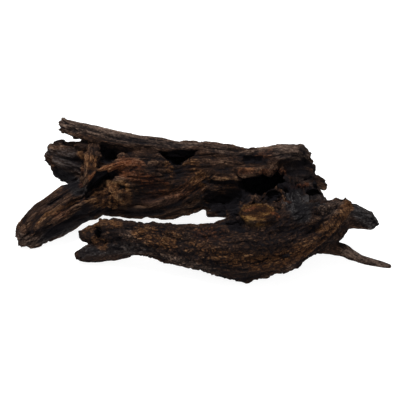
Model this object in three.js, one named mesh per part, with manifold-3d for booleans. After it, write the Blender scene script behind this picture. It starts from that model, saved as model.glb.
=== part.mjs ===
// A weathered log of dark ebony driftwood, lying on the ground.
//
// A thick hollow trunk lies at the back. Its roots and broken branches grew out of it in one piece: a leg at
// the lower left, a splintered rib along the top, and, round a crown at the right, a front root that runs
// back to the left beside the trunk. All of them are limbs: tubes of changing girth along a curve, with
// furrows along their grain. The limbs are joined into one solid, and the rot hollows are cut out of it.
//
// Sizes are millimetres. +Z is up, +X runs along the log to the right, and the front is -Y. The log stands
// on its origin, which is under the middle of its outer box.

import * as THREE from "three";
import { mergeVertices } from "three/addons/utils/BufferGeometryUtils.js";
import { ImprovedNoise } from "three/addons/math/ImprovedNoise.js";
import Module from "manifold-3d";

const wasm = await Module();
wasm.setup();

const UP = new THREE.Vector3(0, 0, 1);
const FRONT = new THREE.Vector3(0, -1, 0);

// The ground. The solid is trimmed at this height, which gives it the small flat spots that it rests on.
const GROUND = 0;
const GROUND_DEPTH = 60;
const GROUND_SPAN = 700;

// Furrows: how wide one is across the grain, how long along it, and how deep for each millimetre of the
// limb's radius.
const FURROW_WIDTH = 12;
const FURROW_LENGTH = 70;
const FURROW_SHARE = 0.09;
// Folds are the same at a larger scale, and lumps are slow swellings of the girth.
const FOLD_WIDTH = 27;
const FOLD_LENGTH = 110;
const FOLD_SHARE = 0.17;
const LUMP_SIZE = 44;
const LUMP_SHARE = 0.1;
// A ridge stands this far out, and falls this steeply with the noise on either side of its crest.
const RIDGE_HEIGHT = 0.45;
const RIDGE_SLOPE = 2.5;
// How many broken fibres there are across a ragged end.
const FIBRES_ACROSS = 2.3;
// Each limb reads its own stretch of the noise, this far from the one before it.
const SEED_STEP = 7.3;
const FIRST_HOLLOW_SEED = 100;
const FIRST_LEDGE_SEED = 200;

// Each limb is a list of stations from one end to the other:
//   [x, y, z, across, up]   the middle of the limb there, and its two radii, across it and upwards.
const LIMBS = {
  trunk: {
    sides: 29,
    steps: 29,
    spiral: 0.0045,
    stations: [
      [-150, 60, 56, 22, 24],
      [-140, 60, 52, 35, 38],
      [-124, 58, 47, 39, 46],
      [-99, 58, 46, 40, 48],
      [-74, 58, 47, 40, 47],
      [-50, 58, 45.5, 41, 48],
      [-33, 58, 47, 40, 46],
      [-12, 59, 51, 39, 43],
      [8, 59, 54, 38, 41],
      [28, 59, 54, 38, 40],
      [52, 58, 53, 38, 38],
      [77, 56, 52, 37, 37],
      [100, 54, 52, 34, 37],
      [118, 54, 52, 31, 35],
      [130, 55, 51, 26, 29],
      [138, 56, 49, 14, 17],
    ],
  },
  // A swelling of its grain sweeps up to the right over its front.
  sweep: {
    sides: 12,
    steps: 13,
    facing: FRONT,
    stations: [
      [-112, 34, 22, 8, 9],
      [-84, 29, 22, 11, 12],
      [-56, 28, 27, 12, 12],
      [-32, 27, 36, 12, 12],
      [-12, 28, 48, 11, 11],
      [4, 32, 60, 9, 9],
      [16, 38, 72, 6, 6],
    ],
  },
  // A knob stands out of the trunk's right end.
  knob: {
    sides: 9,
    steps: 5,
    stations: [
      [112, 48, 51, 18, 17],
      [134, 46, 50, 14, 14],
      [146, 44, 51, 10, 9],
      [155, 43, 51, 6, 5],
    ],
  },
  // Below it the wood bulges out over the crown.
  cheek: {
    sides: 9,
    steps: 4,
    stations: [
      [122, 22, 50, 13, 13],
      [134, 13, 51, 13, 12],
      [143, 6, 49, 9, 9],
      [149, 0, 47, 3, 4],
    ],
  },
  // The trunk's far left end is a broken slab, set behind the leg.
  slab: {
    sides: 19,
    steps: 10,
    ragged: 6,
    stations: [
      [-118, 68, 56, 27, 34],
      [-140, 70, 60, 22, 34],
      [-156, 71, 63, 18, 32],
      [-168, 73, 68, 16, 28],
      [-180, 75, 73, 13, 20],
      [-191, 77, 74, 8, 10],
    ],
  },
  // The leg comes forward and down to the left, and ends in a blunt hoof.
  leg: {
    sides: 18,
    steps: 15,
    spiral: -0.004,
    stations: [
      [-92, 50, 40, 20, 20],
      [-112, 43, 38, 24, 23],
      [-132, 33, 36, 27, 26],
      [-150, 19, 35, 27, 27],
      [-168, 5, 32, 27, 27],
      [-186, -8, 26, 26, 27],
      [-202, -19, 18, 21, 22],
      [-214, -26, 13, 14, 14],
      [-219, -28, 11, 6, 7],
    ],
  },
  // A burl swells out of the trunk's left front.
  burl: {
    sides: 13,
    steps: 6,
    facing: UP,
    stations: [
      [-103, 44, 46, 16, 16],
      [-103, 24, 46, 19, 18],
      [-102, 13, 46, 17, 16],
      [-102, 7, 46, 8, 8],
    ],
  },
  // The crown joins the trunk's right end to the front root, and dips between them.
  crown: {
    sides: 22,
    steps: 11,
    stations: [
      [82, 58, 47, 60, 34],
      [92, 34, 44, 54, 27],
      [99, 6, 42, 50, 21],
      [101, -24, 42, 49, 22],
      [98, -56, 42, 50, 33],
    ],
  },
  // The front root runs from the crown back to the left, with a belly that it lies on.
  root: {
    sides: 24,
    steps: 29,
    spiral: 0.005,
    stations: [
      [173, -32, 49, 12, 14],
      [164, -36, 48, 21, 23],
      [150, -43, 46, 26, 25],
      [130, -57, 46, 30, 30],
      [108, -74, 43, 34, 37],
      [88, -84, 40, 35, 38],
      [68, -89, 36, 37, 38],
      [49, -92, 37, 36, 37],
      [32, -92, 36, 33, 34],
      [11, -88, 34, 28, 28],
      [-11, -82, 33, 23, 25],
      [-34, -76, 34, 20, 23],
      [-58, -71, 36, 19, 21],
      [-81, -65, 37, 19, 21],
      [-100, -61, 34, 18, 21],
      [-112, -59, 31, 12, 15],
    ],
  },
  // Two fingers fork off the left end of the front root, under a short brow.
  upperFinger: {
    sides: 12,
    steps: 9,
    stations: [
      [-90, -61, 33, 15, 15],
      [-106, -56, 31, 13, 15],
      [-121, -52, 30, 11, 13],
      [-133, -50, 30, 8, 9],
      [-143, -50, 31, 4, 4],
    ],
  },
  lowerFinger: {
    sides: 12,
    steps: 9,
    stations: [
      [-84, -64, 25, 16, 18],
      [-106, -64, 18, 13, 16],
      [-121, -64, 13, 12, 14],
      [-136, -63, 10, 9, 10],
      [-147, -62, 8, 4, 5],
    ],
  },
  brow: {
    sides: 9,
    steps: 6,
    stations: [
      [-90, -62, 44, 12, 10],
      [-106, -60, 46, 11, 9],
      [-118, -59, 46, 8, 7],
      [-124, -58, 46, 4, 4],
    ],
  },
  // A blunt horn and a thin tail stand out of the front root's right end.
  horn: {
    sides: 14,
    steps: 9,
    stations: [
      [146, -40, 48, 20, 22],
      [165, -33, 46, 18, 21],
      [177, -32, 46, 15, 18],
      [189, -31, 42, 12, 14],
      [201, -30, 36, 9, 10],
      [208, -29, 32, 5, 6],
    ],
  },
  tail: {
    sides: 8,
    steps: 13,
    stations: [
      [116, -48, 28, 17, 15],
      [139, -51, 21, 13, 12],
      [158, -58, 18, 9, 9],
      [169, -63, 16, 8, 7],
      [177, -68, 13, 7, 6.5],
      [188, -74, 11, 6, 6],
      [203, -81, 10, 5, 4.5],
      [220, -88, 10, 3, 2.5],
    ],
  },
  // The bosses that the trunk's back rests on.
  keel: {
    sides: 11,
    steps: 7,
    stations: [
      [-76, 66, 36, 22, 20],
      [-38, 70, 18, 22, 20],
      [0, 68, 36, 20, 18],
    ],
  },
  heel: {
    sides: 11,
    steps: 7,
    stations: [
      [58, 64, 36, 22, 20],
      [90, 68, 19, 22, 21],
      [120, 58, 36, 18, 18],
    ],
  },
  // A broken branch's stump stands out of the trunk's back.
  backStump: {
    sides: 10,
    steps: 6,
    facing: UP,
    ragged: 3,
    stations: [
      [6, 82, 55, 20, 16],
      [14, 96, 57, 15, 13],
      [20, 104, 59, 12, 11],
      [24, 110, 60, 10, 9],
    ],
  },
};

// A sawn knot on top of the front root: a short stub with a flat round face.
const KNOT = { x: 67, y: -80, top: 77, radius: 21, footRadius: 25, depth: 34, sides: 22 };

// Rot hollows, cut out of the joined solid. Each is a limb of empty space, listed from the outside in.
const HOLLOWS = {
  // Under the rib, which closes its upper half.
  ribHollow: {
    sides: 11,
    steps: 7,
    stations: [
      [-27, 12, 98, 4, 10],
      [-27, 28, 95, 12, 14],
      [-27, 45, 92, 22, 14],
      [-28, 60, 84, 16, 12],
      [-29, 70, 78, 4, 4],
    ],
  },
  // The large one in the trunk's right front.
  frontHollow: {
    sides: 15,
    steps: 7,
    stations: [
      [77, -14, 68, 31, 13],
      [77, 8, 64, 32, 13],
      [78, 30, 58, 29, 13],
      [79, 48, 53, 20, 11],
      [80, 60, 50, 5, 4],
    ],
  },
  // It trails off down to the left, between the trunk and the crown.
  crownGroove: {
    sides: 11,
    steps: 7,
    facing: UP,
    stations: [
      [60, 0, 62, 12, 13],
      [44, 9, 54, 12, 12],
      [26, 16, 47, 10, 9],
      [8, 20, 41, 5, 5],
    ],
  },
  // The undercut beneath the crest, and a groove beside it.
  crestUndercut: {
    sides: 9,
    steps: 9,
    stations: [
      [92, 26, 85, 5, 3],
      [106, 25, 84, 12, 7],
      [122, 27, 83, 12, 7],
      [146, 32, 79, 9, 6],
    ],
  },
  crestGroove: {
    sides: 8,
    steps: 6,
    stations: [
      [46, 26, 87, 4, 3],
      [56, 28, 88, 9, 5],
      [68, 30, 88, 9, 5],
      [80, 34, 88, 4, 3],
    ],
  },
  // Two beside the shoulder, above and below the brace.
  shoulderHollow: {
    sides: 11,
    steps: 5,
    stations: [
      [-111, 4, 106, 10, 9],
      [-111, 27, 96, 10, 10],
      [-109, 45, 86, 9, 9],
      [-106, 60, 78, 2, 2],
    ],
  },
  braceHollow: {
    sides: 9,
    steps: 7,
    facing: FRONT,
    stations: [
      [-140, 12, 48, 3, 6],
      [-131, 14, 57, 7, 12],
      [-121, 17, 66, 10, 15],
      [-111, 21, 70, 8, 12],
      [-101, 25, 72, 3, 5],
    ],
  },
  // Two dead knots in the crown, and the pit under the brow.
  crownKnot: {
    sides: 10,
    steps: 4,
    facing: FRONT,
    stations: [
      [88, -42, 86, 10, 6],
      [88, -28, 70, 9, 6],
      [88, -18, 58, 7, 5],
      [88, -12, 50, 2, 2],
    ],
  },
  crownPit: {
    sides: 10,
    steps: 4,
    facing: FRONT,
    stations: [
      [138, -26, 72, 10, 8],
      [137, 0, 56, 10, 7],
      [136, 12, 50, 8, 6],
      [135, 22, 44, 2, 2],
    ],
  },
  browPit: {
    sides: 8,
    steps: 4,
    stations: [
      [-124, -88, 46, 6, 6],
      [-119, -68, 40, 6, 6],
      [-116, -58, 37, 5, 5],
      [-113, -50, 35, 1.5, 1.5],
    ],
  },
  // The trunk's right end has rotted out, and a long crack has opened in its back.
  endHollow: {
    sides: 12,
    steps: 5,
    stations: [
      [160, 66, 46, 17, 15],
      [134, 63, 47, 16, 15],
      [118, 61, 48, 12, 11],
      [105, 60, 48, 3, 3],
    ],
  },
  backCrack: {
    sides: 8,
    steps: 12,
    stations: [
      [-118, 110, 62, 7, 5],
      [-92, 100, 58, 13, 9],
      [-62, 99, 52, 14, 10],
      [-32, 102, 50, 11, 7],
      [-12, 110, 50, 7, 4],
    ],
  },
};

// Sound wood that still stands over the hollows and along the limbs, in the same form as the limbs. It is
// joined on after the hollows are cut, so it closes what it crosses.
const LEDGES = {
  // A long splintered rib lies along the top of the trunk, and its left end stands free.
  rib: {
    sides: 12,
    steps: 18,
    ragged: 5,
    stations: [
      [34, 57, 81, 12, 9],
      [0, 56, 86, 14, 10],
      [-24, 58, 90, 14, 9.5],
      [-61, 60, 94, 15, 9.5],
      [-98, 63, 99, 15, 10],
      [-123, 66, 104, 15, 10.5],
      [-147, 70, 110, 13, 11.5],
      [-163, 73, 114, 11, 10],
      [-172, 74, 115, 8, 7],
    ],
  },
  // The right end of the trunk has a rounded crest that hangs over its front.
  crest: {
    sides: 13,
    steps: 11,
    stations: [
      [38, 54, 80, 14, 8],
      [60, 49, 83, 17, 9],
      [84, 45, 87, 18, 11],
      [104, 45, 91, 18, 12],
      [119, 47, 89, 15, 13],
      [130, 49, 80, 10, 10],
    ],
  },
  // A lintel lies over the large hollow, and a sill beside it.
  lintel: {
    sides: 8,
    steps: 7,
    stations: [
      [38, 34, 75, 4, 4],
      [50, 26, 78, 8, 6],
      [64, 24, 79, 9, 6],
      [82, 27, 78, 8, 6],
      [98, 34, 77, 4, 4],
    ],
  },
  sill: {
    sides: 8,
    steps: 6,
    stations: [
      [94, 16, 59, 4, 4],
      [106, 12, 62, 6, 5],
      [120, 12, 62, 6, 5],
      [131, 16, 60, 4, 4],
    ],
  },
  // A shoulder comes down the trunk's left front, wide at the top. A brace leaves its foot up to the right.
  shoulder: {
    sides: 12,
    steps: 10,
    facing: FRONT,
    stations: [
      [-129, 48, 92, 9, 6],
      [-130, 37, 91, 11, 8],
      [-132, 28, 81, 10, 8],
      [-136, 21, 68, 7, 7],
      [-140, 15, 56, 5, 6],
      [-143, 12, 47, 2, 3],
    ],
  },
  brace: {
    sides: 8,
    steps: 9,
    facing: FRONT,
    stations: [
      [-141, 16, 57, 5, 5],
      [-130, 17, 71, 6, 6],
      [-119, 20, 78, 6, 6],
      [-107, 25, 81, 6, 5],
      [-94, 30, 83, 5, 5],
      [-82, 35, 84, 3, 3],
    ],
  },
  // A small dead spur points left out of the crown.
  spur: {
    sides: 8,
    steps: 6,
    stations: [
      [48, 22, 30, 12, 11],
      [28, 16, 26, 8, 7],
      [17, 13, 25, 6, 5],
      [7, 11, 25, 4, 4],
    ],
  },
  // A ridge runs down the front of the leg.
  legRidge: {
    sides: 8,
    steps: 9,
    stations: [
      [-205, -23, 22, 4, 4],
      [-190, -19, 34, 6, 6],
      [-170, -7, 46, 7, 6],
      [-150, 9, 53, 6, 5],
      [-132, 22, 56, 3, 3],
    ],
  },
  // Ridges of sound wood stand along the front root, over its belly and beside the knot.
  bellyRidge: {
    sides: 9,
    steps: 12,
    facing: FRONT,
    stations: [
      [156, -64, 54, 5, 5],
      [136, -83, 47, 8, 8],
      [112, -101, 33, 9, 9],
      [82, -113, 27, 10, 9],
      [48, -115, 23, 9, 8],
      [16, -104, 20, 5, 5],
    ],
  },
  topRidge: {
    sides: 8,
    steps: 10,
    stations: [
      [42, -68, 60, 8, 6],
      [22, -68, 52, 9, 6],
      [-6, -68, 49, 8, 6],
      [-40, -66, 48, 8, 6],
      [-74, -62, 48, 6, 5],
    ],
  },
};

const noise = new ImprovedNoise();

// Sharp ridges with round valleys between them, drawn out along z.
function ridges(x, y, z) {
  return RIDGE_HEIGHT - RIDGE_SLOPE * Math.abs(noise.noise(x, y, z));
}

// How far a limb's wall stands from its smooth section, in millimetres. The angle goes round the limb, and
// the arc is the distance along it.
function relief(angle, arc, radius, seed) {
  const x = Math.cos(angle) * radius;
  const y = Math.sin(angle) * radius;
  const furrow = ridges(x / FURROW_WIDTH + seed, y / FURROW_WIDTH, arc / FURROW_LENGTH);
  const fold = ridges(x / FOLD_WIDTH, y / FOLD_WIDTH + seed, arc / FOLD_LENGTH + seed);
  const lump = noise.noise(x / LUMP_SIZE, y / LUMP_SIZE + seed, arc / LUMP_SIZE);
  return radius * (FURROW_SHARE * furrow + FOLD_SHARE * fold + LUMP_SHARE * lump);
}

// A closed three.js geometry as a solid: without normals and uvs its shared corners are merged.
function solidOf(geometry) {
  geometry.deleteAttribute("normal");
  geometry.deleteAttribute("uv");
  const merged = mergeVertices(geometry, 1e-3);
  const mesh = new wasm.Mesh({
    numProp: 3,
    vertProperties: merged.attributes.position.array,
    triVerts: new Uint32Array(merged.index.array),
  });
  return new wasm.Manifold(mesh);
}

// A cylinder bent along the stations, with its wall moved in and out by the relief. Its last end may be
// ragged: broken fibres reach out or stay back by up to that distance.
function limb({ stations, sides, steps, spiral = 0, ragged = 0, facing = UP }, seed) {
  const path = new THREE.CatmullRomCurve3(stations.map(([x, y, z]) => new THREE.Vector3(x, y, z)));
  const girth = new THREE.CatmullRomCurve3(stations.map(([, , , a, u]) => new THREE.Vector3(a, u, 0)));
  const length = path.getLength();
  const geometry = new THREE.CylinderGeometry(1, 1, 1, sides, steps);
  const corners = geometry.attributes.position;
  const corner = new THREE.Vector3();
  for (let i = 0; i < corners.count; i++) {
    corner.fromBufferAttribute(corners, i);
    const along = corner.y + 0.5;
    const reach = Math.hypot(corner.x, corner.z);
    const angle = Math.atan2(corner.z, corner.x);
    const ahead = path.getTangent(along);
    const side = new THREE.Vector3().crossVectors(ahead, facing).normalize();
    const upward = new THREE.Vector3().crossVectors(side, ahead);
    const { x: across, y: up } = girth.getPoint(along);
    const arc = along * length;
    const wall = relief(angle + spiral * arc, arc, Math.min(across, up), seed);
    const fibre = noise.noise(corner.x * FIBRES_ACROSS + seed, corner.z * FIBRES_ACROSS, 0.5);
    const broken = 2 * ragged * fibre * along ** 4;
    corner
      .copy(path.getPoint(along))
      .addScaledVector(side, Math.cos(angle) * (across + wall) * reach)
      .addScaledVector(upward, Math.sin(angle) * (up + wall) * reach)
      .addScaledVector(ahead, broken);
    corners.setXYZ(i, corner.x, corner.y, corner.z);
  }
  return solidOf(geometry);
}

// The sawn knot's stub, which widens a little downwards into the root.
function sawnKnot() {
  const geometry = new THREE.CylinderGeometry(KNOT.radius, KNOT.footRadius, KNOT.depth, KNOT.sides);
  geometry.rotateX(Math.PI / 2);
  geometry.translate(KNOT.x, KNOT.y, KNOT.top - KNOT.depth / 2);
  return solidOf(geometry);
}

// Everything under the ground, as one block.
function ground() {
  const geometry = new THREE.BoxGeometry(GROUND_SPAN, GROUND_SPAN, GROUND_DEPTH);
  geometry.translate(0, 0, GROUND - GROUND_DEPTH / 2);
  return solidOf(geometry);
}

// A solid as a three.js geometry.
function geometryOf(solid) {
  const { numProp, numVert, vertProperties, triVerts } = solid.getMesh();
  const positions = new Float32Array(numVert * 3);
  for (let i = 0; i < numVert; i++) {
    positions.set(vertProperties.subarray(i * numProp, i * numProp + 3), i * 3);
  }
  const geometry = new THREE.BufferGeometry();
  geometry.setAttribute("position", new THREE.BufferAttribute(positions, 3));
  geometry.setIndex(new THREE.BufferAttribute(triVerts, 1));
  geometry.computeVertexNormals();
  return geometry;
}

// Moves a mesh so that it stands on the origin, with the origin under the middle of its box.
function standOnOrigin(mesh) {
  const box = new THREE.Box3().setFromObject(mesh);
  const middle = box.getCenter(new THREE.Vector3());
  mesh.position.set(-middle.x, -middle.y, -box.min.z);
}

// All the shapes of a table, each with a seed of its own.
function shapes(table, firstSeed) {
  return Object.values(table).map((each, i) => limb(each, firstSeed + i * SEED_STEP));
}

function ebonyLog() {
  const grown = shapes(LIMBS, 0).reduce((whole, each) => whole.add(each)).add(sawnKnot());
  const hollowed = shapes(HOLLOWS, FIRST_HOLLOW_SEED).reduce((whole, each) => whole.subtract(each), grown);
  const complete = shapes(LEDGES, FIRST_LEDGE_SEED).reduce((whole, each) => whole.add(each), hollowed);
  const material = new THREE.MeshStandardMaterial({ color: 0x3a2a1f, roughness: 0.8, metalness: 0 });
  const log = new THREE.Mesh(geometryOf(complete.subtract(ground())), material);
  log.name = "ebony_log";
  standOnOrigin(log);
  return log;
}

const group = new THREE.Group();
group.add(ebonyLog());

export default group;
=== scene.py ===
# %% [markdown]
# # A weathered ebony log
#
# The real object is one gnarled piece of dark driftwood. A hollow trunk lies at the back. A leg comes off
# its left end, a splintered rib runs along its top, and a front root grows out of its right end and comes
# back beside it, with a fork, a sawn knot, a horn and a thin tail.
#
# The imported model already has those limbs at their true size. What it lacks is wood: furrows along the
# grain, cracks, pits, broken fibres, and the browns and blacks of old heartwood. This lesson carves and
# colours that surface.

# %% Load the frame
import math
from itertools import product

import bmesh
import bpy
import numpy as np
from mathutils import Matrix, Vector
from mathutils.bvhtree import BVHTree


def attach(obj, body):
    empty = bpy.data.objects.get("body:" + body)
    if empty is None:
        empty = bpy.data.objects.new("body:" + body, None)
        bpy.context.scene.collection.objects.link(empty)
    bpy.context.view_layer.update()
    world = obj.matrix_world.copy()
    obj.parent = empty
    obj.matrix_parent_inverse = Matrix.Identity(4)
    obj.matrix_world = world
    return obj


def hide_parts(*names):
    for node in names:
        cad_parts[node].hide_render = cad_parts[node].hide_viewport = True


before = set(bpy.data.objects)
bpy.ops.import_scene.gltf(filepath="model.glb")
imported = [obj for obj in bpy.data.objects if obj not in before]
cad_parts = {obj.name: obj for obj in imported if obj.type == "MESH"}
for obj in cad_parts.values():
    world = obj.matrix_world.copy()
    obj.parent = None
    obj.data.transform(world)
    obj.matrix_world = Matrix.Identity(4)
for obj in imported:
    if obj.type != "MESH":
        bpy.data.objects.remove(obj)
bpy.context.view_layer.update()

MM = 0.001

# %% [markdown]
# ## The camera
#
# The camera comes first, because places on the log are easiest to name by where the photograph shows them.
# The sawn knot is a round, level face that the photograph shows as an ellipse, half as high as it is wide.
# That puts the camera 28 degrees above level. A long lens from 1.5 m away gives its slight perspective.

# %% Rays through the photograph
PHOTO_PIXELS = 400
MM_PER_PIXEL = 1.2
VIEW_ELEVATION = math.radians(28)
VIEW_DISTANCE = 1.5
VIEW_TARGET = Vector((0.0004, 0.0063, 0.0500))

FORWARD = Vector((0, math.cos(VIEW_ELEVATION), -math.sin(VIEW_ELEVATION)))
RIGHT = Vector((1, 0, 0))
UPWARD = RIGHT.cross(FORWARD)
EYE = VIEW_TARGET - VIEW_DISTANCE * FORWARD
FOCAL_PIXELS = VIEW_DISTANCE / (MM_PER_PIXEL * MM)


def photo_ray(px, py):
    """The direction from the eye through a pixel of the photograph."""
    across = (px - PHOTO_PIXELS / 2) / FOCAL_PIXELS
    down = (py - PHOTO_PIXELS / 2) / FOCAL_PIXELS
    return (FORWARD + across * RIGHT - down * UPWARD).normalized()


def photo_pixels(points):
    """Where points in millimetres are seen in the photograph, as two arrays of pixels."""
    rays = points * MM - np.array(EYE)
    scale = FOCAL_PIXELS / (rays @ np.array(FORWARD))
    half = PHOTO_PIXELS / 2
    return half + scale * (rays @ np.array(RIGHT)), half - scale * (rays @ np.array(UPWARD))


def pixel_at_depth(px, py, depth):
    """The point in millimetres that a pixel shows on the upright plane y = depth."""
    ray = photo_ray(px, py)
    return np.array(EYE + ray * ((depth * MM - EYE.y) / ray.y)) / MM


print("the origin is at pixel", [round(float(p[0])) for p in photo_pixels(np.zeros((1, 3)))])

# %% Camera
SENSOR_MM = 36.0

lens = bpy.data.cameras.new("camera")
lens.sensor_width = SENSOR_MM
lens.lens = SENSOR_MM * FOCAL_PIXELS / PHOTO_PIXELS
camera = bpy.data.objects.new("camera", lens)
camera.location = EYE
camera.rotation_euler = FORWARD.to_track_quat("-Z", "Y").to_euler()
bpy.context.scene.collection.objects.link(camera)
bpy.context.scene.camera = camera
print("lens", round(lens.lens, 1), "mm")

# %% [markdown]
# ## The blank
#
# A carver starts from a blank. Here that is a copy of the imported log, with its loose triangles merged.
# Slivers of broken wood are added where the photograph shows torn ends, fillings where it shows wood in a
# corner between two limbs, and a ring round the knot hole. All of these are thin cones. A cone's two ends
# are given as pixels of the photograph and a depth behind them.

# %% Slivers
SLIVERS = {
    # x0, y0, x1, y1 in pixels; depth in millimetres; radius at each end
    "rib's tip": [
        (76, 124, 59, 121, 80, 5.5, 2.0), (74, 128, 61, 132, 80, 5.0, 1.8), (84, 136, 72, 138, 76, 4.5, 1.5),
        (66, 119, 61, 117, 80, 3.0, 1.6)],
    "slab's end": [
        (62, 148, 48, 147, 82, 6.0, 2.2), (60, 155, 44, 156, 83, 6.0, 2.5), (62, 163, 49, 164, 82, 6.0, 2.0),
        (64, 142, 53, 141, 80, 5.0, 2.5), (66, 172, 55, 174, 78, 6.0, 2.0)],
    "fork": [
        (118, 224, 99, 223, -50, 4.0, 3.5), (90, 232, 78, 234, -44, 6.0, 1.8),
        (90, 254, 75, 257, -56, 6.0, 1.8)],
    "spur": [
        (224, 207, 206, 214, 18, 5.0, 1.6), (232, 212, 214, 217, 12, 4.0, 1.3),
        (222, 204, 210, 207, 22, 4.0, 1.4)],
    "trunk's right end": [
        (304, 150, 311, 156, 52, 5.0, 2.0), (306, 162, 315, 165, 50, 5.0, 1.8),
        (314, 176, 326, 182, 50, 5.0, 2.2), (312, 183, 320, 190, 30, 6.0, 2.5)],
    "horn": [(344, 202, 352, 203, -30, 6.0, 2.0), (368, 214, 378, 225, -24, 6.0, 2.4)],
    "rib's top": [(116, 134, 112, 131, 74, 4.0, 1.2)],
    "leg's toe": [(24, 240, 17, 238, -22, 5.0, 2.0)],
    "filling beside the knot": [
        (254, 202, 242, 209, -14, 10.0, 8.0), (248, 214, 227, 217.5, -54, 12.0, 9.0),
        (250, 212, 236, 216, -38, 12.0, 8.0)],
    "fillings under the trunk and right of the knot hole": [
        (80, 206, 104, 211, 30, 5.0, 6.5), (310, 199, 320, 199, 12, 4.0, 4.0),
        (312, 203, 322, 203, 4, 4.0, 4.0), (104, 211, 132, 212, 30, 6.5, 5.0),
        (307, 197, 320, 197, 20, 4.0, 4.0)],
    "fillings between the slab and its neighbours": [
        (60, 146, 86, 146, 78, 4.0, 5.0), (74, 146, 100, 147.5, 57, 5.0, 5.0),
        (72, 176, 80, 194, 60, 9.0, 11.0)],
    "fillings behind the shoulder ridge": [
        (98, 153, 94, 165, 40, 5.0, 4.0), (83, 178, 82, 190, 24, 4.0, 2.0)],
    "ring round the knot hole": [
        (262, 200, 265, 193, -22, 3.0, 2.6), (265, 193, 270, 190, -20, 2.6, 2.6),
        (270, 190, 277, 189, -18, 2.6, 2.6), (277, 189, 282, 192, -20, 2.6, 2.6),
        (282, 192, 285, 198, -24, 2.6, 2.8), (285, 198, 283, 204, -28, 2.8, 2.6)],
}
SLIVER_SIDES = 7
WELD = 0.01 * MM


def rows(table):
    """The rows of all parts of a table, one after another."""
    return [row for part in table.values() for row in part]


def add_sliver(bm, start, end, first_radius, last_radius):
    """Adds a thin closed cone between two points in millimetres to a mesh being edited."""
    start, end = Vector(start) * MM, Vector(end) * MM
    turn = (end - start).to_track_quat("Z", "Y").to_matrix().to_4x4()
    bmesh.ops.create_cone(
        bm, cap_ends=True, segments=SLIVER_SIDES, radius1=first_radius * MM, radius2=last_radius * MM,
        depth=(end - start).length, matrix=Matrix.Translation((start + end) / 2) @ turn)


def merged_copy(node, name):
    """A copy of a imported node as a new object, with its corners merged and the slivers added."""
    mesh = bpy.data.meshes.new(name)
    bm = bmesh.new()
    bm.from_mesh(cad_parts[node].data)
    bmesh.ops.remove_doubles(bm, verts=bm.verts, dist=WELD)
    for x0, y0, x1, y1, depth, first_radius, last_radius in rows(SLIVERS):
        ends = pixel_at_depth(x0, y0, depth), pixel_at_depth(x1, y1, depth)
        add_sliver(bm, *ends, first_radius, last_radius)
    bm.to_mesh(mesh)
    bm.free()
    piece = bpy.data.objects.new(name, mesh)
    bpy.context.scene.collection.objects.link(piece)
    return piece


log = merged_copy("ebony_log", "weathered_log")
print("added", len(rows(SLIVERS)), "cones")

# %% [markdown]
# A voxel remesh fuses all this into an even net of small quads, fine enough to carve, and a few passes of
# smoothing melt the flat facets and let the limbs flow into each other as grown wood does. Sculpting by
# hand would be the usual way, but code can do the same moves, and gives the same log on every run.
#
# Plain smoothing shrinks thin limbs. Each shrinking pass is followed by a slightly stronger swelling one,
# so the tail keeps its girth.

# %% Mesh helpers
def applied(piece):
    """Makes a piece's modifiers permanent."""
    graph = bpy.context.evaluated_depsgraph_get()
    mesh = bpy.data.meshes.new_from_object(piece.evaluated_get(graph))
    piece.modifiers.clear()
    piece.data = mesh
    return piece


def read_rows(items, name, width=3):
    """One kind of value of a mesh's items, as an array with a row for each item."""
    values = np.empty(len(items) * width)
    items.foreach_get(name, values)
    return values.reshape(-1, width)


def read_points(mesh):
    """A mesh's vertices in millimetres."""
    return read_rows(mesh.vertices, "co") / MM


def read_normals(mesh):
    """A mesh's vertex normals."""
    return read_rows(mesh.vertex_normals, "vector")


def write_points(mesh, points):
    """Moves a mesh's vertices to the rows of an array, in millimetres."""
    mesh.vertices.foreach_set("co", (points * MM).ravel())
    mesh.update()


def neighbour_mean(mesh):
    """A function that gives the mean of each vertex's neighbours for any array of values."""
    ends = np.empty(len(mesh.edges) * 2, int)
    mesh.edges.foreach_get("vertices", ends)
    one, other = ends.reshape(-1, 2).T
    count = np.bincount(ends, minlength=len(mesh.vertices))

    def mean(values):
        columns = [
            np.bincount(one, column[other], len(count)) + np.bincount(other, column[one], len(count))
            for column in values.reshape(len(values), -1).T
        ]
        return (np.stack(columns, 1) / count[:, None]).reshape(values.shape)

    return mean


# %% Remesh and smooth
VOXEL = 1.4 * MM
SMOOTHING_ROUNDS = 11
SHRINK = 0.55
SWELL = -0.57

voxels = log.modifiers.new("voxels", "REMESH")
voxels.mode = "VOXEL"
voxels.voxel_size = VOXEL
applied(log)
mean_of = neighbour_mean(log.data)
points = read_points(log.data)
for _ in range(SMOOTHING_ROUNDS):
    for step in (SHRINK, SWELL):
        points += step * (mean_of(points) - points)
write_points(log.data, points)
print("blank:", len(log.data.vertices), "vertices,", len(log.data.polygons), "faces")

# %% [markdown]
# ## The run of the grain
#
# Wood grain follows the limb that it grew in. So each limb gets a centre line, and each point of the
# surface gets three grain coordinates: how far along its limb it lies, and how far off the centre line in
# two directions. Noise that is read in these coordinates, drawn out along the limb, makes furrows that
# bend where the limb bends. Between two limbs the coordinates are shared out by distance, so that furrows
# merge in the crotch as they do on the real log.
#
# A line's stations are x, y, z and radius in millimetres. Long is how far a furrow runs for its width,
# crackle is how strongly the wood has broken up into small blocks, and rough is how deep its furrows are.

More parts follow.
